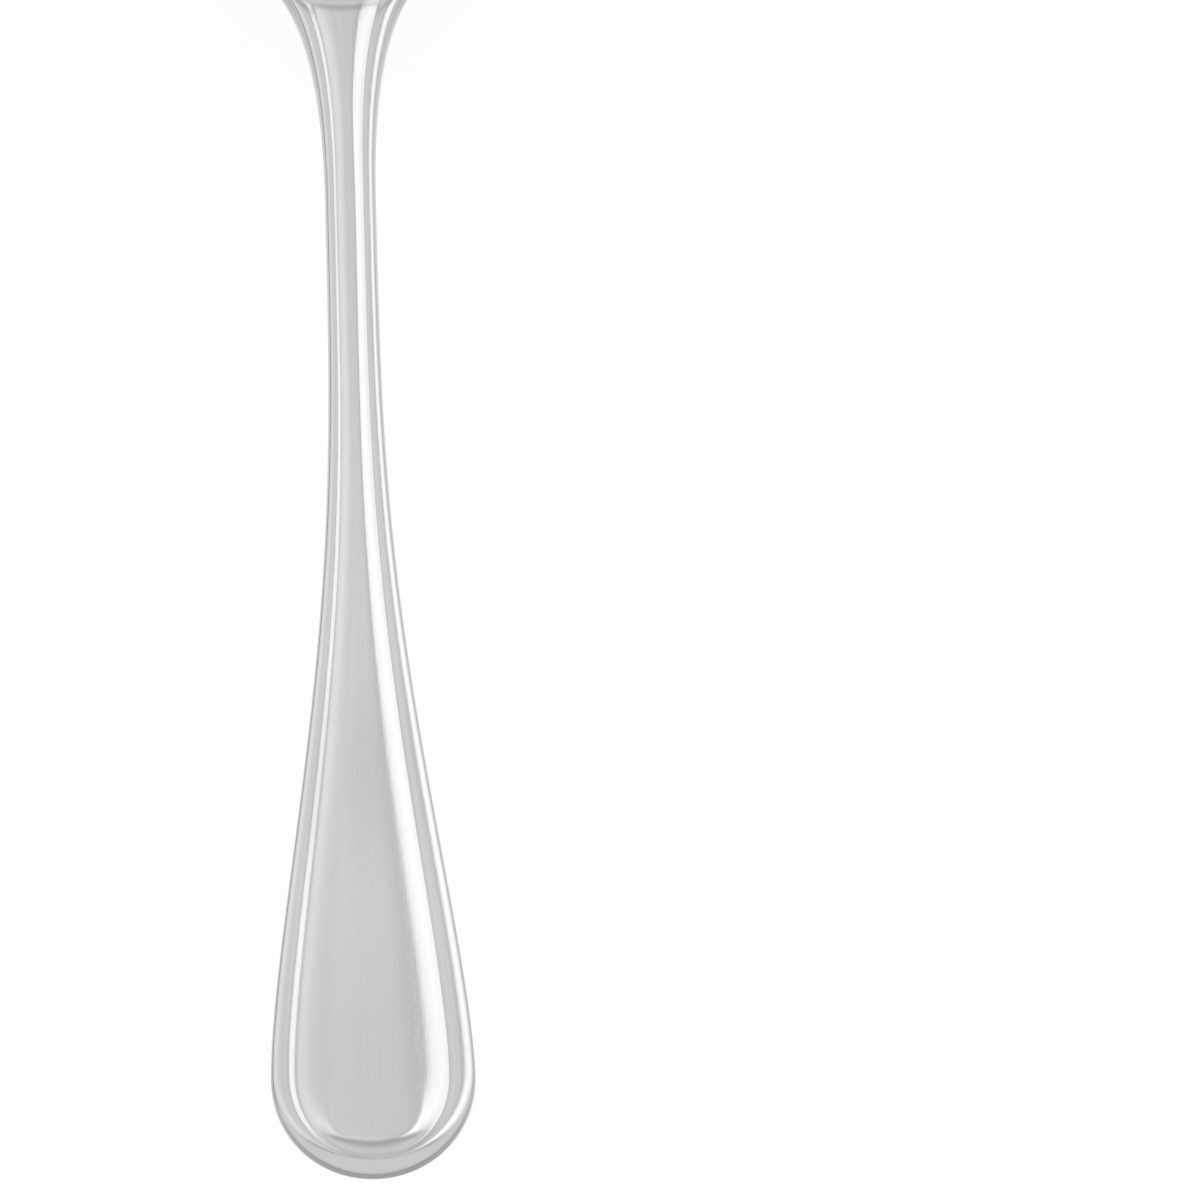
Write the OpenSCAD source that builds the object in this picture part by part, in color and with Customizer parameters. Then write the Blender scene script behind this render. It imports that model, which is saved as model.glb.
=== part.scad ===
// Iced tea spoon in polished steel, lying on its back with the bowl open upwards.
// The spoon runs along Y, with the bowl's tip at +Y and the handle's tip at -Y.
// Z is zero at the surface it lies on, which the handle's end and the bowl touch.
// The real spoon is stamped from one blank. Its four zones meet face to face.

/* [Overall] */
// Length from the handle's tip to the bowl's tip
spoon_l = 190; // [175:1:205]
// Height of the arch's underside above the table
arch_h = 10; // [8.5:0.5:14]

/* [Handle end] */
// Greatest width of the handle
handle_w = 17.4; // [14:0.1:21]
// From the handle's tip to its widest place
cap_l = 12.2; // [11:0.1:13.5]
// Length over which the handle narrows into the stem
taper_l = 102; // [90:0.5:110]
// Thickness of the handle under the top of its thread
handle_t = 1.4; // [1.2:0.1:2]
// Length of the flat under the handle's end, from its tip
flat_l = 14; // [13.5:0.5:20]

/* [Border] */
// Width of the border at the handle's widest place, from the edge to the panel
border_w = 4.45; // [3:0.05:5]
// Fall of the thread from its rounded top to the edge
thread_fall = 0.28; // [0.1:0.01:0.4]
// Fall of the thread at the handle's tip
tip_fall = 0.75; // [0.3:0.01:0.8]
// Depth of the groove inside the thread
groove_d = 0.1; // [0.03:0.01:0.3]
// Rise of the slope from the groove to the panel
slope_rise = 0.39; // [0.1:0.01:0.45]
// Rise of the slope in the stem
stem_rise = 0.18; // [0.1:0.01:0.3]
// Rise of the panel's crown above its border
crown_rise = 0.09; // [0:0.01:0.2]
// Radius of the rounded edge
edge_r = 0.3; // [0.2:0.05:0.35]

/* [Stem] */
// Width of the stem
stem_w = 4.4; // [3.8:0.05:5.6]
// Thickness of the stem under the top of its thread, without its rounded back
stem_t = 2.2; // [1.8:0.1:3]
// Fullness of the stem's rounded back below its edges
stem_belly = 0.5; // [0.2:0.1:0.8]
// Width of the stem where the bowl's shoulders begin
neck_w = 4.4; // [4.2:0.1:6]

/* [Bowl] */
// Greatest width of the bowl
bowl_w = 31.8; // [28:0.1:36]
// From the bowl's tip to its widest place
bowl_front_l = 25.8; // [22:0.1:28]
// From the bowl's tip to the end of its shoulders
bowl_l = 77.2; // [74:0.1:82]
// Depth of the bowl's outside, below the underside of its rim
bowl_depth = 8.2; // [6:0.1:8.4]
// Thickness of the rim
rim_t = 1; // [0.8:0.1:1.4]
// Thickness of the metal at the bottom of the bowl
bowl_t = 1.3; // [1.1:0.1:1.8]

/* [Hidden] */

// Zones of the handle, as shares of its length from the tip to the shoulders
handle_end_share = 0.44;
neck_share = 0.18;

// From the bowl's tip to the top of the arch
arch_top_l = 66.4;

// From the bowl's widest place back to the end of its dish, and the length over which the border fades there
dish_back_l = 28;
fade_l = 18;

// Controls of the curve of the shoulders as shares of its length, from the widest place and from the neck
shoulder_wide_share = 0.47;
shoulder_neck_share = 0.9;

// Places along Y
handle_tip_y = -spoon_l / 2;
bowl_tip_y = spoon_l / 2;
cap_y = handle_tip_y + cap_l;
flat_y = handle_tip_y + flat_l;
wide_y = bowl_tip_y - bowl_front_l;
flare_y = bowl_tip_y - bowl_l;
handle_l = flare_y - handle_tip_y;
handle_cut_y = handle_tip_y + handle_l * handle_end_share;
neck_l = handle_l * neck_share;
neck_cut_y = flare_y - neck_l;
arch_top_y = bowl_tip_y - arch_top_l;
dish_y = wide_y - dish_back_l;

// Half-widths, and the panel's from its widest place to its end
handle_hw = handle_w / 2;
stem_hw = stem_w / 2;
neck_hw = neck_w / 2;
bowl_hw = bowl_w / 2;
panel_hw = handle_hw - border_w;

// Powers of the handle's round end and of the start and the run-out of its taper
cap_power = 2.01;
taper_power = 1.625;
runout_power = 4;

// Roundness of the bowl's section, from 0 for a parabola to 1 for half a circle
section_share = 0.58;

// Height of the rim's underside at the tip, with the bowl's bottom on the table
wide_share = (wide_y - arch_top_y) / (bowl_tip_y - arch_top_y);
rim_tip_h = arch_h - (arch_h - bowl_depth) / ease(wide_share);

// Roundness of the bowl along its bottom, towards the neck as towards the tip
section_start = section_share / (1 - sqrt(1 - section_share)) / 2;
dish_round = section_start * rim_tip_h / bowl_depth * pow(dish_back_l / bowl_front_l, 2);

// Shape of the bowl's round tip, as shares of its half-width and its length
tip_round_share = 0.547;
tip_side_share = 0.435;

// Width of the border in the stem as a share of its half-width, and at the handle's tip of its own width
stem_border_share = 0.8;
tip_border_share = 0.787;
panel_end_l = cap_l - border_w * tip_border_share;

// Rise of the slope at the handle's tip, as a share of its rise at the sides
tip_rise_share = 1.2;

// Places of the thread's top and of the groove, as shares of the border's even width
thread_share = 0.31;
groove_share = 0.5;
stem_thread_share = 0.415;
stem_groove_share = 0.615;

// Depth of the groove in the stem as a share of its depth in the handle
stem_depth_share = 0.42;

// Roundness of the slope, above zero where it is steepest at the groove, below where at the panel
slope_round = 0.67;
stem_slope_round = 0.33;
tip_slope_round = 0.49;

// Height of the middle of the edge, as a share of its thickness
edge_middle_share = 0.45;

// Share of the taper's length over which the handle's thickness changes to the stem's
thinning_share = 0.45;

// Powers of the fall of the thread at the sides and at the tip, of the crown and of the border's growth
thread_power = 2.7;
tip_thread_power = 1.15;
crown_power = 4;
border_power = 1.4;

// Powers of the panel's round end and of the rounded edge
panel_power = 3.7;
edge_power = 3;

// Columns from the centre to the edge, as shares of the panel, the border and the rounded edge
panel_shares = [0, 0.25, 0.5, 0.75];
border_shares = [1, 0.82, 0.65, 0.5, 0.4, 0.31, 0.17];
edge_shares = [1, 0.4, 0.1, 0];

// Counts of steps along the outline and of columns from the centre to the edge
cap_n = 12;
handle_n = 22;
stem_n = 16;
neck_n = 9;
shoulder_n = 18;
tip_n = 16;
// Steps of the shoulders that belong to the neck
shoulder_cut_n = 5;
last_n = cap_n + handle_n + stem_n + neck_n + shoulder_n + tip_n;
panel_n = len(panel_shares);
border_n = len(border_shares);
column_n = panel_n + border_n + len(edge_shares) - 1;
loop_n = 4 * column_n;

// Stations where the zones meet
handle_cut = cap_n + handle_n;
neck_cut = handle_cut + stem_n;
bowl_cut = neck_cut + neck_n + shoulder_cut_n;
tip_start = last_n - tip_n;

// Soft step from 0 to 1
function ease(u) =
    let (v = min(max(u, 0), 1))
    v * v * (3 - 2 * v);

// Point at share t of a curve with two end points and two control points
function bezier(t, a, b, c, d) =
    let (s = 1 - t)
    s * s * s * a + 3 * s * s * t * b + 3 * s * t * t * c + t * t * t * d;

// Value at share t of the way from a to b
function blend(a, b, t) = a + (b - a) * t;

// Half-width of the handle, the stem and the neck
function half_width(y) =
    let (run = min(max((y - cap_y) / taper_l, 0), 1))
    blend(stem_hw, handle_hw, pow(1 - pow(run, taper_power), runout_power))
    + (neck_hw - stem_hw) * ease((y - neck_cut_y) / neck_l);

function cap_point(a) =
    [handle_hw * pow(sin(a), 2 / cap_power), cap_y - cap_l * pow(cos(a), 2 / cap_power)];

function shoulder_point(t) =
    bezier(t, [neck_hw, flare_y], [neck_hw, blend(flare_y, wide_y, shoulder_neck_share)],
        [bowl_hw, blend(wide_y, flare_y, shoulder_wide_share)], [bowl_hw, wide_y]);

function tip_point(t) =
    bezier(t, [bowl_hw, wide_y], [bowl_hw, wide_y + bowl_front_l * tip_side_share],
        [bowl_hw * tip_round_share, bowl_tip_y], [0, bowl_tip_y]);

function slices(from, to, n) =
    [for (i = [1:n]) let (y = from + (to - from) * i / n) [half_width(y), y]];

// Right half of the outline, from the handle's tip to the bowl's tip
outline = concat(
    [for (i = [0:cap_n]) cap_point(90 * i / cap_n)],
    slices(cap_y, handle_cut_y, handle_n),
    slices(handle_cut_y, neck_cut_y, stem_n),
    slices(neck_cut_y, flare_y, neck_n),
    [for (i = [1:shoulder_n]) shoulder_point(i / shoulder_n)],
    [for (i = [1:tip_n]) tip_point(i / tip_n)]
);

// How far a place belongs to the handle's end or to the bowl, from 0 to 1
function in_handle(y) = 1 - ease((y - flat_y) / (taper_l * thinning_share));
function in_bowl(y) = ease((y - dish_y) / fade_l);

// Depth of the bowl as a share of the arch's height, with one curvature on both sides of its deepest place
function in_dish(y) =
    let (u = min(max((wide_y - y) / dish_back_l, 0), 1))
    1 - u * u * (dish_round + (4 - 2 * dish_round) * u + (dish_round - 3) * u * u);

// Height of the underside of the edge: level, up in a long arch, and down to the rim's tip
function arch(y) =
    let (u = min(max((y - flat_y) / (arch_top_y - flat_y), 0), 1))
    arch_h * u * u * (6 - 8 * u + 3 * u * u)
    - (arch_h - rim_tip_h) * ease((y - arch_top_y) / (bowl_tip_y - arch_top_y));

function edge_t(y) =
    stem_t + (handle_t - stem_t) * in_handle(y) + (rim_t - stem_t) * in_bowl(y);
function belly(y) = stem_belly * (1 - in_handle(y)) * (1 - in_bowl(y));

// How far a place on the outline is round the handle's end, from 0 at the widest to 1 at the tip
function round_end(p) = p.y < cap_y ? 1 - pow(p.x / handle_hw, 2) : 0;

// How far the outline is from the stem's width, at 0, to the handle's, at 1, fastest at the stem
function in_wide(p, reach) =
    p.y < cap_y ? 1 : sqrt(min(max((reach - stem_hw) / (handle_hw - stem_hw), 0), 1));

// Even width of the border at an outline point, which places the thread and the groove
function even_border(p, wide) =
    blend(blend(stem_hw * stem_border_share, border_w, pow(wide, border_power)),
        border_w * tip_border_share, round_end(p));

// Reach of the panel from its pole: its end has squarer corners than the handle's
function panel_reach(p, pole, reach, even) =
    p.y >= cap_y ? reach - even
    : reach / pow(pow(p.x / panel_hw, panel_power) + pow((pole.y - p.y) / panel_end_l, panel_power),
        1 / panel_power);

// Fall of the thread from its top at a share of the way out to the edge
function thread_drop(p, out) =
    let (tip = round_end(p))
    blend(thread_fall, tip_fall, tip) * pow(out, blend(thread_power, tip_thread_power, tip));

// Height above the thread's top at a distance from the edge
function relief(gap, p, wide, even, border_width, rise) =
    let (thread = even * blend(stem_thread_share, thread_share, wide))
    let (hollow = even * blend(stem_groove_share, groove_share, wide))
    let (round = blend(blend(stem_slope_round, slope_round, wide), tip_slope_round, round_end(p)))
    let (into = min(max(0, (gap - hollow) / (border_width - hollow)), 1))
    let (depth = groove_d * blend(stem_depth_share, 1, wide))
    gap < thread ? -thread_drop(p, 1 - gap / thread)
    : rise * into * (1 + round * (1 - into)) - depth * ease((gap - thread) / (hollow - thread));

// Rise of the bowl's section from 0 at the centre to 1 at the rim
function section(f) = (1 - sqrt(1 - section_share * f * f)) / (1 - sqrt(1 - section_share));

// Distance of a column from the edge
function column_gap(column, reach, border_width) =
    column < panel_n ? reach - (reach - border_width) * panel_shares[column]
    : column < panel_n + border_n ? border_width * border_shares[column - panel_n]
    : edge_r * edge_shares[column - panel_n - border_n];

// Point of the surface at one station and one column, on the top or on the back
function surface_point(i, column, is_top) =
    let (p = outline[i])
    let (pole = [0, min(max(p.y, cap_y), wide_y)])
    let (reach = norm(p - pole))
    let (wide = in_wide(p, reach))
    let (even = even_border(p, wide))
    let (panel = panel_reach(p, pole, reach, even))
    let (border_width = reach - panel)
    let (gap = column_gap(column, reach, border_width))
    let (f = 1 - gap / reach)
    let (at = pole + (p - pole) * f)
    let (outer = section(f))
    let (base = arch(pole.y) + (arch(p.y) - arch(pole.y)) * outer
        - arch(pole.y) * in_dish(pole.y) * (1 - outer))
    let (edge = edge_t(pole.y))
    let (bowl = in_bowl(pole.y))
    let (rise = blend(stem_rise, slope_rise, wide))
    let (edge_rise = rise * blend(1, tip_rise_share, round_end(p)))
    let (crown = crown_rise * min(panel / panel_hw, 1) + rise - edge_rise)
    let (crown_share = 1 - pow(min(reach - gap, panel) / panel, crown_power))
    let (pattern = crown * crown_share + relief(gap, p, wide, even, border_width, edge_rise))
    let (top = base + edge + pattern * (1 - bowl) + (bowl_t - rim_t) * (1 - f * f) * bowl)
    let (back = base - belly(pole.y) * (1 - f * f))
    let (middle = base + edge * edge_middle_share)
    let (bevel = max(0, 1 - gap / edge_r))
    let (cut = pow(1 - pow(bevel, edge_power), 1 / edge_power))
    [at.x, at.y, middle + ((is_top ? top : back) - middle) * cut];

// A loop goes from the top's centre over the right edge, the back and the left edge
function loop_point(i, j) =
    let (k = j % (2 * column_n))
    let (column = k <= column_n ? k : 2 * column_n - k)
    let (p = surface_point(i, column, j < column_n || j > 3 * column_n))
    [j > 2 * column_n ? -p.x : p.x, p.y, p.z];

// Index of a point: round ends share their pole, and their two sides share the tip's points
function spot(first, i, j) =
    let (k = j % loop_n)
    let (row = k % (2 * column_n) == 0 ? min(max(i, cap_n), tip_start) : i)
    let (turn = (i == 0 || i == last_n) && k > 2 * column_n ? loop_n - k : k)
    (row - first) * loop_n + turn;

function is_open(f) = f[0] != f[1] && f[1] != f[2] && f[2] != f[0];

// Two triangles of a skewed square, split the mirrored way on the left
function split(a, b, c, d, is_left) =
    [for (f = is_left ? [[a, b, d], [b, c, d]] : [[a, b, c], [a, c, d]]) if (is_open(f)) f];

function skin(first, last) =
    [for (i = [first:last - 1], j = [0:loop_n - 1])
        each split(spot(first, i, j), spot(first, i + 1, j), spot(first, i + 1, j + 1),
            spot(first, i, j + 1), j >= 2 * column_n)];

// Flat end of a zone, in strips between the top and the back
function cut_face(first, i) =
    [for (start = [0, 2 * column_n], k = [0:column_n - 1])
        let (end = start + 2 * column_n)
        each split(spot(first, i, start + k), spot(first, i, start + k + 1),
            spot(first, i, end - k - 1), spot(first, i, end - k), start > 0)];

function flipped(faces) = [for (f = faces) [f[2], f[1], f[0]]];

// One zone of the spoon between two stations
module zone(first, last) {
    points = [for (i = [first:last], j = [0:loop_n - 1]) loop_point(i, j)];
    faces = concat(
        skin(first, last),
        first > 0 ? cut_face(first, first) : [],
        last < last_n ? flipped(cut_face(first, last)) : []
    );
    polyhedron(points = points, faces = faces);
}

module handle_end() {
    color("silver") zone(0, handle_cut);
}

module stem() {
    color("silver") zone(handle_cut, neck_cut);
}

module neck() {
    color("silver") zone(neck_cut, bowl_cut);
}

module bowl() {
    color("silver") zone(bowl_cut, last_n);
}

bowl();
neck();
stem();
handle_end();
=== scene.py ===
import math

import bpy
from mathutils import Matrix, Vector


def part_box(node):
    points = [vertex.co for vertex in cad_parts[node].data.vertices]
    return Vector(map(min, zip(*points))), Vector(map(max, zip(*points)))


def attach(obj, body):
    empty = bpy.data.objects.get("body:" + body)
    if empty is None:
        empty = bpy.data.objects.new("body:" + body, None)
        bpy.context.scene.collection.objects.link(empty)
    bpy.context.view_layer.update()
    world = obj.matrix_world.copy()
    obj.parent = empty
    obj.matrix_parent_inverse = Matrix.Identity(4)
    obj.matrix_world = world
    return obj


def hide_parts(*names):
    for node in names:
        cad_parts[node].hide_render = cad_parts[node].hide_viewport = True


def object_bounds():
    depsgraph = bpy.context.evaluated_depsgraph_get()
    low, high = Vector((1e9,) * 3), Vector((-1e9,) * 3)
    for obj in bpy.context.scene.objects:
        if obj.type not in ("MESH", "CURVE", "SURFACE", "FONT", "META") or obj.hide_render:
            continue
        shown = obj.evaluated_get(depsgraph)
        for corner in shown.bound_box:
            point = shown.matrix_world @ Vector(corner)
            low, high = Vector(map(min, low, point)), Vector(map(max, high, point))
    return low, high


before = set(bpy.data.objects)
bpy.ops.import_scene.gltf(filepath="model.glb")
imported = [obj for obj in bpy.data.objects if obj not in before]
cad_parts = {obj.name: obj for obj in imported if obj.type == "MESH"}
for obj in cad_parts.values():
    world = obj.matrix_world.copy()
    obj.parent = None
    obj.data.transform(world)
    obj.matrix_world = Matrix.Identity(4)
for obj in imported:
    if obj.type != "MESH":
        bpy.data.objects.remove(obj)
cadLow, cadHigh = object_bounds()
scene = bpy.context.scene
mm = 0.001
print("frame loaded:", ", ".join(sorted(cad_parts)))


# Formulas as nodes: a Term is one value in a node tree

class Term:
    def __init__(self, tree, socket):
        self.tree = tree
        self.socket = socket

    def __add__(self, other):
        return calc("ADD", self, other)

    def __radd__(self, other):
        return calc("ADD", other, self)

    def __sub__(self, other):
        return calc("SUBTRACT", self, other)

    def __rsub__(self, other):
        return calc("SUBTRACT", other, self)

    def __mul__(self, other):
        return calc("MULTIPLY", self, other)

    def __rmul__(self, other):
        return calc("MULTIPLY", other, self)

    def __truediv__(self, other):
        return calc("DIVIDE", self, other)

    def __rtruediv__(self, other):
        return calc("DIVIDE", other, self)

    def __pow__(self, other):
        return calc("POWER", self, other)


def feed(tree, socket, value):
    if isinstance(value, Term):
        tree.links.new(value.socket, socket)
    else:
        socket.default_value = value


def calc(operation, *values):  # one step of arithmetic, in the tree of its Terms
    tree = next(v.tree for v in values if isinstance(v, Term))
    node = tree.nodes.new("ShaderNodeMath")
    node.operation = operation
    for socket, value in zip(node.inputs, values):
        feed(tree, socket, value)
    return Term(tree, node.outputs[0])


def clamped(value):  # kept between 0 and 1
    return calc("MINIMUM", calc("MAXIMUM", value, 0.0), 1.0)


def ranged(value, low, high, toLow=0.0, toHigh=1.0, kind="LINEAR"):  # one range mapped to another
    node = value.tree.nodes.new("ShaderNodeMapRange")
    node.interpolation_type = kind
    for name, part in (("Value", value), ("From Min", low), ("From Max", high),
                       ("To Min", toLow), ("To Max", toHigh)):
        feed(value.tree, node.inputs[name], part)
    return Term(value.tree, node.outputs["Result"])


def soft(value):  # a soft step from 0 to 1
    return ranged(value, 0.0, 1.0, kind="SMOOTHSTEP")


def blended(start, end, share):
    return start + (end - start) * share


def chosen(test, whenTrue, whenFalse):
    node = test.tree.nodes.new("GeometryNodeSwitch")
    node.input_type = "FLOAT"
    for name, value in (("Switch", test), ("True", whenTrue), ("False", whenFalse)):
        feed(test.tree, node.inputs[name], value)
    return Term(test.tree, node.outputs[0])


def curved(t, a, b, c, d):  # one coordinate of a Bezier curve
    s = 1.0 - t
    return s * s * s * a + s * s * t * b * 3.0 + s * t * t * c * 3.0 + t * t * t * d


# New objects and materials

def newObject(name, data):
    made = bpy.data.objects.new(name, data)
    scene.collection.objects.link(made)
    return made


def newMaterial(name):
    material = bpy.data.materials.new(name)
    material.use_nodes = True
    return material, material.node_tree, material.node_tree.nodes["Principled BSDF"]


# The spoon: its sizes in millimetres, and its shares and powers, as the solids have them

handleLow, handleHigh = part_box("handle_end")
bowlLow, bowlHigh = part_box("bowl")
spoonSizes = {
    "Length": (cadHigh.y - cadLow.y) / mm,
    "Arch Height": 10.0,
    "Handle Width": (handleHigh.x - handleLow.x) / mm,
    "Handle End Length": 12.2,  # from the handle's tip to its widest place
    "Taper Length": 102.0,
    "Handle Thickness": 1.4,
    "Flat Length": 14.0,  # from the handle's tip
    "Border Width": 4.45,
    "Thread Fall": 0.28,  # from the thread's rounded top to the edge
    "Tip Fall": 0.75,  # the same at the handle's tip
    "Groove Depth": 0.1,
    "Stem Groove Depth": 0.042,
    "Slope Rise": 0.39,  # from the groove to the panel
    "Stem Slope Rise": 0.18,
    "Crown Rise": 0.09,
    "Edge Radius": 0.3,
    "Stem Width": 4.4,
    "Stem Thickness": 2.2,
    "Stem Belly": 0.5,  # how far the stem's rounded back reaches below its edges
    "Neck Width": 4.4,
    "Bowl Width": (bowlHigh.x - bowlLow.x) / mm,
    "Bowl Front": 25.8,  # from the bowl's tip to its widest place
    "Bowl Length": 77.2,  # from the bowl's tip to where its shoulders begin
    "Bowl Depth": 8.2,  # outside, below the underside of the rim
    "Rim Thickness": 1.0,
    "Bowl Thickness": 1.3,
    "Arch Top": 66.4,  # from the bowl's tip
    "Dish Back": 28.0,  # from the bowl's widest place to where its hollow begins
    "Shoulder Length": 18.0,  # over which the border fades there
}
spoonShares = {
    "Neck Share": 0.18,  # of the length from the handle's tip to the shoulders
    "End Power": 2.01,
    "Taper Power": 1.625,
    "Run-Out Power": 4.0,
    "Shoulder At Bowl": 0.47,
    "Shoulder At Neck": 0.9,
    "Section Roundness": 0.58,
    "Tip Round": 0.547,
    "Tip Side": 0.435,
    "Stem Border": 0.8,  # of half the stem's width
    "Tip Border": 0.787,  # of the border's width
    "Tip Rise": 1.2,  # of the slope's rise
    "Thread Place": 0.31,  # places across the border, as shares of its width from the edge
    "Groove Place": 0.5,
    "Stem Thread Place": 0.415,
    "Stem Groove Place": 0.615,
    "Slope Roundness": 0.67,
    "Stem Slope Roundness": 0.33,
    "Tip Slope Roundness": 0.49,
    "Slope Softness": 0.04,
    "Edge Middle": 0.45,  # height of the edge's outermost line, as a share of the thickness
    "Thinning": 0.45,  # share of the taper's length over which the thickness changes
    "Thread Power": 2.7,
    "Tip Thread Power": 1.15,
    "Crown Power": 4.0,
    "Border Power": 1.4,
    "Panel Power": 3.7,
    "Edge Power": 3.0,
}
# The grid that the shape is made on
mesh = {
    "endSteps": 48,  # stations round the handle's end, and then along each part of the outline
    "handleSteps": 240,
    "shoulderSteps": 72,
    "frontSteps": 80,
    "topColumns": 144,  # columns from edge to edge
    "backColumns": 48,
    "panelColumns": 1 / 4,  # share of the columns that cover the panel
    "edgeColumns": 1 / 6,  # and of those on the rounded edge
    "weld": 0.001 * mm,  # points closer than this become one
}


def outlinePoint(g, station):
    # Half-width and place of the outline at a station, from the handle's tip to the bowl's tip
    turn = clamped(station / mesh["endSteps"]) * (math.pi / 2)
    endPower = 2.0 / g["End Power"]
    endX = g["handleHalf"] * calc("SINE", turn) ** endPower
    endY = g["endY"] - g["Handle End Length"] * calc("COSINE", turn) ** endPower

    along = station - mesh["endSteps"]
    sliceY = g["endY"] + clamped(along / mesh["handleSteps"]) * (g["flareY"] - g["endY"])
    run = clamped((sliceY - g["endY"]) / g["Taper Length"])
    taper = calc("MAXIMUM", 1.0 - run ** g["Taper Power"], 0.0) ** g["Run-Out Power"]
    widening = soft((sliceY - g["neckY"]) / g["neckLength"])
    sliceX = (g["stemHalf"] + (g["handleHalf"] - g["stemHalf"]) * taper
              + (g["neckHalf"] - g["stemHalf"]) * widening)

    along = along - mesh["handleSteps"]
    t = clamped(along / mesh["shoulderSteps"])
    shoulderX = curved(t, g["neckHalf"], g["neckHalf"], g["bowlHalf"], g["bowlHalf"])
    shoulderY = curved(t, g["flareY"], g["flareY"] + g["flareLength"] * g["Shoulder At Neck"],
                       g["wideY"] - g["flareLength"] * g["Shoulder At Bowl"], g["wideY"])

    front = along - mesh["shoulderSteps"]
    t = clamped(front / mesh["frontSteps"])
    frontX = curved(t, g["bowlHalf"], g["bowlHalf"], g["bowlHalf"] * g["Tip Round"], 0.0)
    frontY = curved(t, g["wideY"], g["wideY"] + g["Bowl Front"] * g["Tip Side"],
                    g["bowlTipY"], g["bowlTipY"])

    inEnd = calc("LESS_THAN", station, float(mesh["endSteps"]))
    inHandle = calc("LESS_THAN", station, float(mesh["endSteps"] + mesh["handleSteps"]))
    inShoulder = calc("LESS_THAN", front, 0.0)
    x = chosen(inEnd, endX, chosen(inHandle, sliceX, chosen(inShoulder, shoulderX, frontX)))
    y = chosen(inEnd, endY, chosen(inHandle, sliceY, chosen(inShoulder, shoulderY, frontY)))
    return x, y


def archAt(g, y):
    # Height of the underside of the edge: level, up in a long arch, and down to the rim's tip
    u = clamped((y - g["flatY"]) / (g["archTopY"] - g["flatY"]))  # its curve is level at 0 and at 1
    fall = soft((y - g["archTopY"]) / (g["bowlTipY"] - g["archTopY"]))
    return (g["Arch Height"] * u * u * (6.0 - u * 8.0 + u * u * 3.0)
            - (g["Arch Height"] - g["rimTipHeight"]) * fall)


def derive(g):
    # Adds the places along the spoon and the other values that follow from the inputs
    g["handleHalf"] = g["Handle Width"] * 0.5
    g["stemHalf"] = g["Stem Width"] * 0.5
    g["neckHalf"] = g["Neck Width"] * 0.5
    g["bowlHalf"] = g["Bowl Width"] * 0.5
    g["panelHalf"] = g["handleHalf"] - g["Border Width"]
    g["panelEnd"] = g["Handle End Length"] - g["Border Width"] * g["Tip Border"]
    g["handleTipY"] = g["Length"] * -0.5
    g["bowlTipY"] = g["Length"] * 0.5
    g["endY"] = g["handleTipY"] + g["Handle End Length"]
    g["flatY"] = g["handleTipY"] + g["Flat Length"]
    g["wideY"] = g["bowlTipY"] - g["Bowl Front"]
    g["flareY"] = g["bowlTipY"] - g["Bowl Length"]
    g["neckLength"] = (g["flareY"] - g["handleTipY"]) * g["Neck Share"]
    g["neckY"] = g["flareY"] - g["neckLength"]
    g["flareLength"] = g["wideY"] - g["flareY"]
    g["dishY"] = g["wideY"] - g["Dish Back"]
    g["archTopY"] = g["bowlTipY"] - g["Arch Top"]
    wideShare = soft((g["wideY"] - g["archTopY"]) / (g["bowlTipY"] - g["archTopY"]))
    g["rimTipHeight"] = g["Arch Height"] - (g["Arch Height"] - g["Bowl Depth"]) / wideShare
    g["sectionTop"] = 1.0 - (1.0 - g["Section Roundness"]) ** 0.5
    dishScale = (g["Dish Back"] / g["Bowl Front"]) ** 2.0
    g["dishRound"] = (g["Section Roundness"] / g["sectionTop"] * 0.5
                      * g["rimTipHeight"] / g["Bowl Depth"] * dishScale)


def relief(g, reach, gap, border, panel, even, wide, roundEnd):
    # Height of the pattern on the top, from the edge inwards: thread, groove, slope and crowned panel.
    # gap is the distance from the edge, and sheetPoint explains the others
    thread, hollow, roundness, sideRise, depth = (
        blended(g["Stem " + name], g[name], wide)
        for name in ("Thread Place", "Groove Place", "Slope Roundness", "Slope Rise", "Groove Depth"))
    thread, hollow = even * thread, even * hollow
    roundness = blended(roundness, g["Tip Slope Roundness"], roundEnd)
    fall = (blended(g["Thread Fall"], g["Tip Fall"], roundEnd)
            * calc("MAXIMUM", 1.0 - gap / thread, 0.0)
            ** blended(g["Thread Power"], g["Tip Thread Power"], roundEnd))
    groove = soft((gap - thread) / (hollow - thread)) * depth
    into = (calc("MINIMUM", gap, border) - hollow) / (border - hollow)
    into = (into + (into * into + g["Slope Softness"] ** 2.0) ** 0.5) * 0.5  # softly kept above 0
    edgeRise = sideRise * blended(1.0, g["Tip Rise"], roundEnd)
    slope = edgeRise * into * (1.0 + roundness * (1.0 - into))
    crown = g["Crown Rise"] * calc("MINIMUM", panel / g["panelHalf"], 1.0) + sideRise - edgeRise
    crown = crown * (1.0 - (calc("MINIMUM", reach - gap, panel) / panel) ** g["Crown Power"])
    return crown + slope - groove - fall


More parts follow.
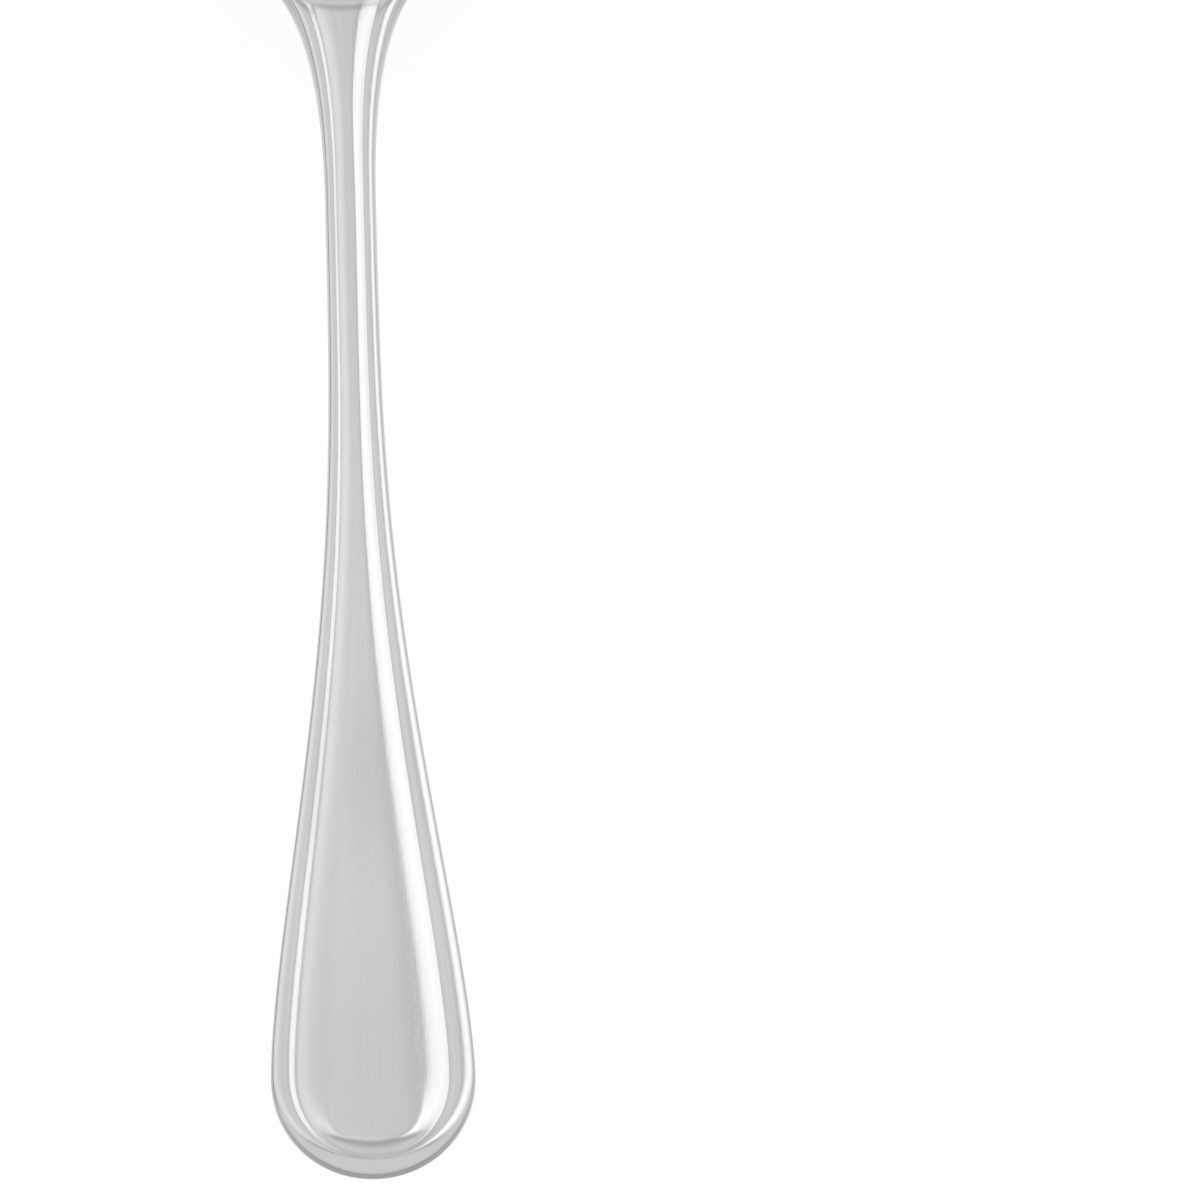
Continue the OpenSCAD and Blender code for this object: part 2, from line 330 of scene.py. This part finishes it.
def sheetPoint(g, station, side, isTop):
    # Where a point of the top or the back lies, and the shares there that the material reads.
    # side goes from -1 at one edge to 1 at the other, and q from 0 in the middle to 1 at both
    q = calc("ABSOLUTE", side)
    x, y = outlinePoint(g, station)
    poleY = calc("MINIMUM", calc("MAXIMUM", y, g["endY"]), g["wideY"])  # the middle it is measured from
    reach = (x * x + (y - poleY) ** 2.0) ** 0.5  # from there to the edge
    inEnd = calc("LESS_THAN", y, g["endY"])
    roundEnd = inEnd * (1.0 - (x / g["handleHalf"]) ** 2.0)  # 1 at the handle's tip, 0 at its widest
    widened = clamped((reach - g["stemHalf"]) / (g["handleHalf"] - g["stemHalf"])) ** 0.5
    wide = chosen(inEnd, 1.0, widened)  # 0 at the stem's width, 1 at the handle's

    # Width of the border where it is even, and of the panel and the border with its corners
    even = blended(g["stemHalf"] * g["Stem Border"], g["Border Width"], wide ** g["Border Power"])
    even = blended(even, g["Border Width"] * g["Tip Border"], roundEnd)
    corner = ((x / g["panelHalf"]) ** g["Panel Power"]
              + (calc("ABSOLUTE", y - poleY) / g["panelEnd"]) ** g["Panel Power"]) ** (1.0 / g["Panel Power"])
    panel = chosen(inEnd, reach / corner, reach - even)
    border = reach - panel

    # Distance from the edge: the columns follow the panel, the border and the rounded edge
    panelTo, edgeStart = mesh["panelColumns"], 1.0 - mesh["edgeColumns"]
    bend = clamped((1.0 - q) / mesh["edgeColumns"]) * (math.pi / 2)
    inPanel = calc("LESS_THAN", q, panelTo)
    inBorder = calc("LESS_THAN", q, edgeStart)
    gap = chosen(
        inPanel, reach - panel * q / panelTo,
        chosen(inBorder, border - (border - g["Edge Radius"]) * (q - panelTo) / (edgeStart - panelTo),
               g["Edge Radius"] * (1.0 - calc("COSINE", bend))))
    cut = calc("MAXIMUM", 1.0 - calc("COSINE", bend) ** g["Edge Power"], 0.0) ** (1.0 / g["Edge Power"])
    f = 1.0 - gap / reach  # 0 in the middle, 1 at the edge
    newX = calc("SIGN", side) * x * f
    newY = poleY + (y - poleY) * f

    # Heights: bowl and handle are 1 in those parts and 0 in the stem
    bowl = soft((poleY - g["dishY"]) / g["Shoulder Length"])
    handle = 1.0 - soft((poleY - g["flatY"]) / (g["Taper Length"] * g["Thinning"]))
    thickness = (g["Stem Thickness"] + (g["Handle Thickness"] - g["Stem Thickness"]) * handle
                 + (g["Rim Thickness"] - g["Stem Thickness"]) * bowl)
    rise = (1.0 - (1.0 - f * f * g["Section Roundness"]) ** 0.5) / g["sectionTop"]
    u = clamped((g["wideY"] - poleY) / g["Dish Back"])  # the dish is deepest at 0 and ends at 1
    dish = 1.0 - u * u * (g["dishRound"] + (4.0 - g["dishRound"] * 2.0) * u + (g["dishRound"] - 3.0) * u * u)
    poleArch = archAt(g, poleY)
    base = poleArch + (archAt(g, y) - poleArch) * rise - poleArch * dish * (1.0 - rise)
    middle = base + thickness * g["Edge Middle"]
    if isTop:
        pattern = relief(g, reach, gap, border, panel, even, wide, roundEnd)
        dishWall = (g["Bowl Thickness"] - g["Rim Thickness"]) * (1.0 - f * f)
        surface = base + thickness + pattern * (1.0 - bowl) + dishWall * bowl
    else:
        surface = base - g["Stem Belly"] * (1.0 - handle) * (1.0 - bowl) * (1.0 - f * f)
    newZ = middle + (surface - middle) * cut
    return (newX, newY, newZ), {
        "borderShare": calc("MINIMUM", gap / border, 1.0),
        "bowlShare": bowl,
        # share across the rounded edge: the mask for the steel's painted shade there
        "edgeShare": 1.0 - clamped(gap / g["Edge Radius"]),
        "topShare": 1.0 if isTop else 0.0,
    }


def kept(tree, shape, name, value):
    # Keeps a value on the mesh for the materials to read
    node = tree.nodes.new("GeometryNodeStoreNamedAttribute")
    node.data_type = "FLOAT"
    node.domain = "POINT"
    node.inputs["Name"].default_value = name
    tree.links.new(shape, node.inputs["Geometry"])
    feed(tree, node.inputs["Value"], value)
    return node.outputs[0]


def sheet(tree, g, columns, isTop):
    # The top or the back of the spoon: a grid bent to shape, stations along X and columns along Y
    stations = mesh["endSteps"] + mesh["handleSteps"] + mesh["shoulderSteps"] + mesh["frontSteps"]
    grid = tree.nodes.new("GeometryNodeMeshGrid")
    for name, value in (("Size X", 1.0), ("Size Y", 1.0),
                        ("Vertices X", stations + 1), ("Vertices Y", columns + 1)):
        grid.inputs[name].default_value = value
    place = tree.nodes.new("ShaderNodeSeparateXYZ")
    tree.links.new(tree.nodes.new("GeometryNodeInputPosition").outputs[0], place.inputs[0])
    station = (Term(tree, place.outputs["X"]) + 0.5) * stations
    point, shares = sheetPoint(g, station, Term(tree, place.outputs["Y"]) * -2.0, isTop)
    shape = grid.outputs["Mesh"]
    for name, value in shares.items():
        shape = kept(tree, shape, name, value)
    moved = tree.nodes.new("ShaderNodeCombineXYZ")
    for socket, value in zip(moved.inputs, point):
        feed(tree, socket, value)
    shaped = tree.nodes.new("GeometryNodeSetPosition")
    tree.links.new(shape, shaped.inputs["Geometry"])
    tree.links.new(moved.outputs[0], shaped.inputs["Position"])
    if isTop:
        return shaped.outputs[0]
    flip = tree.nodes.new("GeometryNodeFlipFaces")
    tree.links.new(shaped.outputs[0], flip.inputs["Mesh"])
    return flip.outputs[0]


def spoonTree(values, material):
    # Gives the tree and, for each named input, the identifier of its socket
    tree = bpy.data.node_groups.new("spoonShape", "GeometryNodeTree")
    face = tree.interface
    inside = tree.nodes.new("NodeGroupInput")
    identifiers = {}
    for name, value in values.items():
        socket = face.new_socket(name=name, in_out="INPUT", socket_type="NodeSocketFloat")
        socket.default_value = value
        identifiers[name] = socket.identifier
    face.new_socket(name="Spoon", in_out="OUTPUT", socket_type="NodeSocketGeometry")
    g = {name: Term(tree, inside.outputs[name]) for name in identifiers}
    derive(g)
    joined = tree.nodes.new("GeometryNodeJoinGeometry")
    for columns, isTop in ((mesh["topColumns"], True), (mesh["backColumns"], False)):
        tree.links.new(sheet(tree, g, columns, isTop), joined.inputs[0])
    weld = tree.nodes.new("GeometryNodeMergeByDistance")
    weld.inputs["Distance"].default_value = mesh["weld"]
    smooth = tree.nodes.new("GeometryNodeSetShadeSmooth")
    real = tree.nodes.new("GeometryNodeRealizeInstances")
    finish = tree.nodes.new("GeometryNodeSetMaterial")
    finish.inputs["Material"].default_value = material
    outside = tree.nodes.new("NodeGroupOutput")
    chain = [joined, weld, smooth, real, finish, outside]
    for before, after in zip(chain, chain[1:]):
        tree.links.new(before.outputs[0], after.inputs[0])
    return tree, identifiers


# Finish: polished steel

steel = {
    "colour": (0.588, 0.582, 0.573, 1.0),
    "roughness": 0.13,
    "bumpHeight": 0.1 * mm,  # the depths of lines and marks are shares of this
    "noiseRoughness": 0.65,
    "lineWidth": 0.12 * mm,
    "lineStretch": 90.0,  # length of a line, in widths
    "lineDetail": 4.0,
    "lineNoise": (0.3, 0.7),  # noise from which a line starts to show, and at which it shows in full
    "lineRoughness": 0.05,
    "lineDepth": 0.02,
    "lineShade": 0.98,
    "markWidth": 0.05 * mm,
    "markLength": 2.4 * mm,
    "markTurns": (math.radians(24), math.radians(-31)),
    "markDetail": 1.0,
    "markNoise": (0.66, 0.74),
    "markLeast": 0.3,  # share of the marks outside the bowl's inside
    "markRoughness": 0.1,
    "markShade": 0.93,
    "markDepth": 0.03,
    "bowlRoughness": 0.14,  # what stirring adds inside the bowl
    "grooveRoughness": 0.05,  # what the wheel leaves in the groove
    "grooveShade": 0.97,
    "groovePlace": 0.52,  # share of the border's width, from the edge
    "grooveReach": 0.16,  # share of it to either side over which the groove's finish fades
    # painted shade: the rounded edge's colour is darkened to stand in for the dark reflection it shows of the
    # floor's shadow and dim surroundings
    "edgePaintedShade": 0.62,
    "edgePaintedShadeFrom": 0.5,  # shares of the rounded edge over which the painted shade darkens the colour
    "edgePaintedShadeTo": 0.95,
}


def newGroup(name, inputs, output):
    # A node group with a vector, named values as inputs and one value as output
    tree = bpy.data.node_groups.new(name, "ShaderNodeTree")
    tree.interface.new_socket(name="Vector", in_out="INPUT", socket_type="NodeSocketVector")
    for label in inputs:
        tree.interface.new_socket(name=label, in_out="INPUT", socket_type="NodeSocketFloat")
    tree.interface.new_socket(name=output, in_out="OUTPUT", socket_type="NodeSocketFloat")
    inside = tree.nodes.new("NodeGroupInput")
    outside = tree.nodes.new("NodeGroupOutput")
    values = [Term(tree, inside.outputs[label]) for label in inputs]
    return tree, inside.outputs["Vector"], values, outside.inputs[output]


def stretchedNoise(tree, vector, scales, detail):
    # Noise with a scale of its own along each axis
    scale = tree.nodes.new("ShaderNodeCombineXYZ")
    for socket, value in zip(scale.inputs, scales):
        feed(tree, socket, value)
    stretched = tree.nodes.new("ShaderNodeVectorMath")
    stretched.operation = "MULTIPLY"
    tree.links.new(vector, stretched.inputs[0])
    tree.links.new(scale.outputs[0], stretched.inputs[1])
    noise = tree.nodes.new("ShaderNodeTexNoise")
    noise.inputs["Scale"].default_value = 1.0
    noise.inputs["Detail"].default_value = detail
    noise.inputs["Roughness"].default_value = steel["noiseRoughness"]
    tree.links.new(stretched.outputs[0], noise.inputs["Vector"])
    return Term(tree, noise.outputs[0])


def polishGroup():
    # Fine lines that the polishing wheel leaves along the metal
    tree, vector, (width, stretch), lines = newGroup(
        "polishLines", ("Line Width", "Stretch"), "Lines")
    scales = (1.0 / width, 1.0 / (width * stretch), 1.0 / width)
    noise = stretchedNoise(tree, vector, scales, steel["lineDetail"])
    feed(tree, lines, ranged(noise, *steel["lineNoise"]))
    return tree


def marksGroup():
    # Short fine scratches that use leaves, all turned the same way
    tree, vector, (width, length, turn), marks = newGroup(
        "useMarks", ("Mark Width", "Mark Length", "Turn"), "Marks")
    turned = tree.nodes.new("ShaderNodeVectorRotate")
    turned.rotation_type = "Z_AXIS"
    tree.links.new(vector, turned.inputs["Vector"])
    feed(tree, turned.inputs["Angle"], turn)
    scales = (1.0 / width, 1.0 / length, 1.0 / width)
    noise = stretchedNoise(tree, turned.outputs[0], scales, steel["markDetail"])
    feed(tree, marks, ranged(noise, *steel["markNoise"]))
    return tree


def placed(tree, group, coords, values):
    # A group put to use in a material, on the spoon's own coordinates
    node = tree.nodes.new("ShaderNodeGroup")
    node.node_tree = group
    tree.links.new(coords.outputs["Object"], node.inputs["Vector"])
    for name, value in values.items():
        node.inputs[name].default_value = value
    return Term(tree, node.outputs[0])


def stored(tree, name):
    # A value that the mesh keeps
    node = tree.nodes.new("ShaderNodeAttribute")
    node.attribute_name = name
    return Term(tree, node.outputs["Fac"])


def makeSteel():
    material, tree, shader = newMaterial("polishedSteel")
    shader.inputs["Metallic"].default_value = 1.0
    coords = tree.nodes.new("ShaderNodeTexCoord")
    lines = placed(tree, polishGroup(), coords,
                   {"Line Width": steel["lineWidth"], "Stretch": steel["lineStretch"]})
    group = marksGroup()
    sets = [placed(tree, group, coords,
                   {"Mark Width": steel["markWidth"], "Mark Length": steel["markLength"], "Turn": turn})
            for turn in steel["markTurns"]]
    inBowl = stored(tree, "bowlShare") * stored(tree, "topShare")
    marks = calc("MAXIMUM", *sets) * blended(steel["markLeast"], 1.0, inBowl)
    fromGroove = calc("ABSOLUTE", stored(tree, "borderShare") - steel["groovePlace"])
    inGroove = ranged(fromGroove, 0.0, steel["grooveReach"], 1.0, 0.0, "SMOOTHSTEP")
    roughness = (lines * steel["lineRoughness"] + (steel["roughness"] - steel["lineRoughness"] / 2)
                 + marks * steel["markRoughness"] + inBowl * steel["bowlRoughness"]
                 + inGroove * steel["grooveRoughness"])
    feed(tree, shader.inputs["Roughness"], roughness)
    bump = tree.nodes.new("ShaderNodeBump")
    bump.inputs["Strength"].default_value = 1.0
    bump.inputs["Distance"].default_value = steel["bumpHeight"]
    feed(tree, bump.inputs["Height"], lines * steel["lineDepth"] - marks * steel["markDepth"])
    tree.links.new(bump.outputs[0], shader.inputs["Normal"])
    # Painted shade: the colour darkens towards the outermost line of the rounded edge, standing in for a dark
    # reflection there
    paintedEdgeShade = ranged(stored(tree, "edgeShare"), steel["edgePaintedShadeFrom"], steel["edgePaintedShadeTo"], kind="SMOOTHSTEP")
    shade = blended(1.0, steel["lineShade"], lines) * blended(1.0, steel["markShade"], marks)
    shade = shade * blended(1.0, steel["grooveShade"], inGroove) * blended(1.0, steel["edgePaintedShade"], paintedEdgeShade)
    colour = tree.nodes.new("ShaderNodeMix")
    colour.data_type = "RGBA"
    colour.inputs["A"].default_value = (0.0, 0.0, 0.0, 1.0)
    colour.inputs["B"].default_value = steel["colour"]
    feed(tree, colour.inputs["Factor"], shade)
    tree.links.new(colour.outputs["Result"], shader.inputs["Base Color"])
    return material


def makeSpoon():
    values = {name: size * mm for name, size in spoonSizes.items()}
    values.update(spoonShares)
    tree, identifiers = spoonTree(values, makeSteel())
    spoon = newObject("icedTeaSpoon", bpy.data.meshes.new("icedTeaSpoon"))
    shaper = spoon.modifiers.new("spoonShape", "NODES")
    shaper.node_group = tree
    for name, value in values.items():
        shaper[identifiers[name]] = value
    depsgraph = bpy.context.evaluated_depsgraph_get()
    plain = bpy.data.meshes.new_from_object(
        spoon.evaluated_get(depsgraph), preserve_all_data_layers=True, depsgraph=depsgraph)
    spoon.modifiers.clear()
    spoon.data = plain
    print("spoon:", len(plain.vertices), "points,", len(plain.polygons), "faces")
    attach(spoon, "root")
    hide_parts("bowl", "neck", "stem", "handle_end")


# The view: far off and tilted back over the handle's tip, as in the close-up

shot = {
    "lens": 1600.0,
    "sensor": 36.0,
    "framePixels": 1200,  # width and height of the photograph
    "tipPixel": (375.8, 1179.3),  # the handle's tip in the photograph
    "widePixels": 205.1,  # the handle's greatest width there
    "lean": math.radians(1.72),
    "tilt": math.radians(48.0),  # from straight down
    "edgeHeight": 0.155 * mm,  # height on the tip's end that shows as the spoon's lowest point
}
towardsCamera = Vector((0, -math.sin(shot["tilt"]), math.cos(shot["tilt"])))


# Stage: white floor, and light whose level changes with the direction it comes from

light = {
    # Level of light that the metal shows, by twice its slope in degrees: across the spoon, towards +X,
    # and along it, towards +Y
    "across": ((-90, 0.32), (-70, 0.45), (-60, 0.93), (-52, 1.12), (-46, 1.06), (-40, 1.06), (-34, 1.32),
               (-28, 1.2), (-22, 1.05), (-15, 1.02), (-11, 0.96), (-8, 0.95), (-5, 1.03), (0, 1.03),
               (2.5, 0.92), (5, 0.77), (7, 0.7), (9, 0.72), (11, 1.15), (13, 1.48), (16, 1.6), (21, 1.6),
               (27, 1.76), (34, 1.55), (42, 1.3), (50, 1.12), (58, 1.0), (70, 0.9), (90, 0.5)),
    "along": ((-180, 0.6), (-140, 0.5), (-120, 0.5), (-100, 0.8), (-85, 0.94), (-70, 1.01), (-58, 1.04),
              (-48, 1.0), (-42, 1.02), (-36, 1.0), (-32, 0.82), (-28, 0.62), (-24.5, 0.58), (-21.5, 0.86),
              (-19.5, 1.11), (-16, 1.1), (-12, 1.06), (-5, 1.03), (0, 1.02), (8, 1.0), (16, 0.63),
              (24, 1.02), (34, 0.87), (45, 0.8), (60, 0.72), (75, 0.6), (90, 0.47), (180, 0.4)),
    "reach": (18, 32),  # degrees along over which the levels across give way to plain light
    "spread": (30, 43),  # degrees across over which those along do, on metal that faces the handle's tip
    "drift": 0.38,  # there, the levels along shift by this share of the angle across
    "driftMost": 15,  # angle across, in degrees, beyond which they shift no further
    "rampTop": 2.0,  # level of light that white stands for in a ramp
}
floorLook = {
    "size": 6.0,
    "brightness": 0.9,
    "glow": 0.95,  # share of plain white that camera rays and reflections get to see
}


def levels(tree, angle, stops):
    # The level of light at an angle, from a colour ramp that holds the stops
    ramp = tree.nodes.new("ShaderNodeValToRGB")
    start, end = stops[0][0], stops[-1][0]
    first, last = math.radians(start), math.radians(end)
    feed(tree, ramp.inputs[0], (angle - first) / (last - first))
    points = ramp.color_ramp.elements
    for place, (degrees, level) in enumerate(stops):
        if 0 < place < len(stops) - 1:
            point = points.new((degrees - start) / (end - start))
        else:
            point = points[0] if place == 0 else points[-1]
        shade = level / light["rampTop"]
        point.color = (shade, shade, shade, 1.0)
    return Term(tree, ramp.outputs["Color"]) * light["rampTop"]


def faded(angle, limits, before, after):
    # Goes from one value to another while an angle, to either side, passes between its limits
    near, far = (math.radians(limit) for limit in limits)
    return ranged(calc("ABSOLUTE", angle), near, far, before, after, "SMOOTHSTEP")


def makeWorld():
    world = bpy.data.worlds.new("studio")
    scene.world = world
    world.use_nodes = True
    tree = world.node_tree
    background = tree.nodes["Background"]
    # The lamps are placed by the slope of the metal that shows them to the camera
    coords = tree.nodes.new("ShaderNodeTexCoord")
    between = tree.nodes.new("ShaderNodeVectorMath")
    between.operation = "ADD"
    tree.links.new(coords.outputs["Generated"], between.inputs[0])
    between.inputs[1].default_value = towardsCamera
    slope = tree.nodes.new("ShaderNodeVectorMath")
    slope.operation = "NORMALIZE"
    tree.links.new(between.outputs[0], slope.inputs[0])
    axes = tree.nodes.new("ShaderNodeSeparateXYZ")
    tree.links.new(slope.outputs[0], axes.inputs[0])
    x, y, z = (Term(tree, axes.outputs[name]) for name in "XYZ")
    sideways = calc("ARCSINE", x * z * 2.0)  # twice the slope across
    turn = calc("ARCTAN2", y, z) * 2.0  # twice the slope along
    across = levels(tree, sideways, light["across"])
    drift = calc("MINIMUM", calc("ABSOLUTE", sideways), math.radians(light["driftMost"])) * light["drift"]
    facesTip = calc("LESS_THAN", turn, 0.0)
    along = levels(tree, turn + drift * facesTip, light["along"])
    along = blended(along, 1.0, faded(sideways, light["spread"], 0.0, 1.0) * facesTip)
    beside = faded(turn, light["reach"], 1.0, 0.0)
    path = tree.nodes.new("ShaderNodeLightPath")
    seen = Term(tree, path.outputs["Is Camera Ray"])
    level = blended(along * (1.0 + (across - 1.0) * beside), 1.0, seen)
    feed(tree, background.inputs["Color"], level)


def makeFloor():
    half = floorLook["size"] / 2
    plane = bpy.data.meshes.new("floor")
    corners = [(-half, -half, 0), (half, -half, 0), (half, half, 0), (-half, half, 0)]
    plane.from_pydata(corners, [], [(0, 1, 2, 3)])
    floor = newObject("floor", plane)
    material, tree, shader = newMaterial("whiteFloor")
    shade = floorLook["brightness"]
    shader.inputs["Base Color"].default_value = (shade, shade, shade, 1.0)
    shader.inputs["Roughness"].default_value = 1.0
    shader.inputs["Specular IOR Level"].default_value = 0.0
    glow = tree.nodes.new("ShaderNodeEmission")
    path = tree.nodes.new("ShaderNodeLightPath")
    mix = tree.nodes.new("ShaderNodeMixShader")
    names = ("Is Camera Ray", "Is Glossy Ray", "Is Transmission Ray")
    rays = [Term(tree, path.outputs[name]) for name in names]
    seen = calc("MAXIMUM", calc("MAXIMUM", rays[0], rays[1]), rays[2])
    feed(tree, mix.inputs[0], seen * floorLook["glow"])
    tree.links.new(shader.outputs[0], mix.inputs[1])
    tree.links.new(glow.outputs[0], mix.inputs[2])
    tree.links.new(mix.outputs[0], tree.nodes["Material Output"].inputs["Surface"])
    plane.materials.append(material)


def makeCamera():
    data = bpy.data.cameras.new("camera")
    camera = newObject("camera", data)
    scene.camera = camera
    data.lens = shot["lens"]
    data.sensor_width = shot["sensor"]
    pixel = spoonSizes["Handle Width"] * mm / shot["widePixels"]
    level = Vector((1, 0, 0))
    away = towardsCamera.cross(level)
    right = level * math.cos(shot["lean"]) - away * math.sin(shot["lean"])
    up = level * math.sin(shot["lean"]) + away * math.cos(shot["lean"])
    middle = shot["framePixels"] / 2
    aim = Vector((0, cadLow.y, shot["edgeHeight"]))
    aim += right * (middle - shot["tipPixel"][0]) * pixel + up * (shot["tipPixel"][1] - middle) * pixel
    distance = pixel * shot["framePixels"] * shot["lens"] / shot["sensor"]
    turn = Matrix((right, up, towardsCamera)).transposed()
    camera.matrix_world = Matrix.Translation(aim + towardsCamera * distance) @ turn.to_4x4()


makeSpoon()
makeFloor()
makeWorld()
makeCamera()
scene.view_settings.view_transform = "Standard"
print("stage and camera ready")
